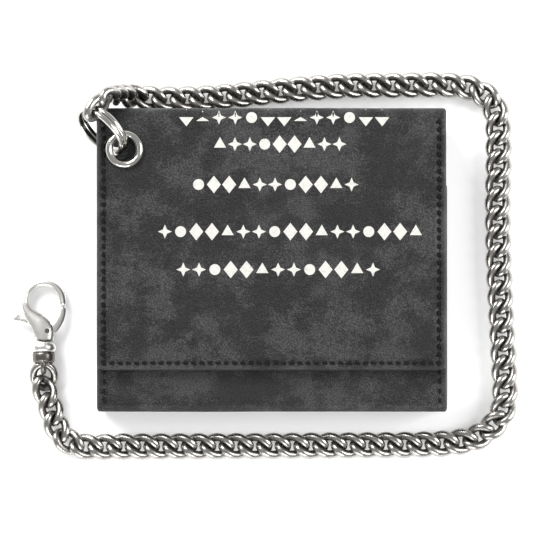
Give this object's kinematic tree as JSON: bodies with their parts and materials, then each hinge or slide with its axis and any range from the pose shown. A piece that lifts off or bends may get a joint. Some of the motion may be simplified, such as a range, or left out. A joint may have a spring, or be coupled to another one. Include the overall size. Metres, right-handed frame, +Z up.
{
  "type": "chain wallet",
  "caption": "Long-flap leather wallet with card and note compartments, an eyelet with a split ring, and a curb chain that ends in a swivel lobster clasp.",
  "frame": {"origin": "middle of the wallet's footprint, on the surface it lies on", "axes": "+Z up out of the flap's face, +Y towards the top fold, +X to the right; the chain and its fittings lie around the wallet"},
  "size_m": [0.1673, 0.1284, 0.03],
  "materials": {
    "leather": "semi-gloss black full-grain leather",
    "lining": "matte black lining leather",
    "nickel": "polished nickel plate",
    "antique_silver": "antiqued silver plate, bright on high spots and dark in recesses",
    "dark_steel": "dark oxidised steel"
  },
  "bodies": {
    "root": {"back_panel": "leather", "front_panel": "leather", "bottom_fold": "leather", "top_fold": "leather", "back_lining": "lining", "front_lining": "lining", "note_divider": "lining", "card_pocket_1": "lining", "card_pocket_2": "lining", "card_pocket_3": "lining", "left_gusset": "lining", "right_gusset": "lining", "snap_stud": "nickel", "chain_lead": "antique_silver", "chain_top_run": "antique_silver", "chain_right_run": "antique_silver", "chain_bottom_run": "antique_silver", "chain_left_run": "antique_silver", "clasp_link": "antique_silver"},
    "flap": {"flap_leather": "leather", "flap_fold": "leather", "flap_lining": "lining", "eyelet_front": "nickel", "eyelet_washer": "nickel", "snap_socket": "nickel"},
    "link": {"ring_link": "antique_silver"},
    "ring": {"split_ring": "nickel"},
    "swivel": {"swivel_eye": "dark_steel"},
    "clasp": {"swivel_collar": "antique_silver", "clasp_body": "antique_silver", "trigger_pin": "dark_steel", "trigger_spring": "dark_steel"},
    "trigger": {"trigger_lever": "antique_silver"}
  },
  "joints": [
    {"name": "flap_hinge", "type": "hinge", "parent": "root", "child": "flap", "pos_m": [0, 0.05, 0.0217], "axis": [-1, 0, 0], "range_deg": [0, 165], "deforming": ["chain_lead"]},
    {"name": "ring_turn", "type": "hinge", "parent": "flap", "child": "ring", "pos_m": [-0.05571, 0.04287, 0.0201], "axis": [0.6336, 0.6481, -0.4226], "continuous": true},
    {"name": "link_slide", "type": "hinge", "parent": "flap", "child": "link", "pos_m": [-0.05571, 0.04287, 0.0201], "axis": [0.6336, 0.6481, -0.4226], "range_deg": [0, 57.75]},
    {"name": "clasp_lift", "type": "hinge", "parent": "root", "child": "swivel", "pos_m": [-0.0756, -0.03427, 0.00485], "axis": [1, 0, 0], "range_deg": [0, 100]},
    {"name": "clasp_swivel", "type": "hinge", "parent": "swivel", "child": "clasp", "pos_m": [-0.0756, -0.0289, 0.00425], "axis": [0, 0.9937, -0.1118], "continuous": true},
    {"name": "trigger_press", "type": "hinge", "parent": "clasp", "child": "trigger", "pos_m": [-0.0744, -0.02353, 0.00365], "axis": [0, 0.1118, 0.9937], "range_deg": [0, 20], "stiffness_Nm_per_rad": 0.02, "springref_deg": -22.92, "deforming": ["trigger_spring"]}
  ],
  "couplings": [
    {"joint": "link_slide", "follows": "flap_hinge", "ratio": 0.35}
  ]
}
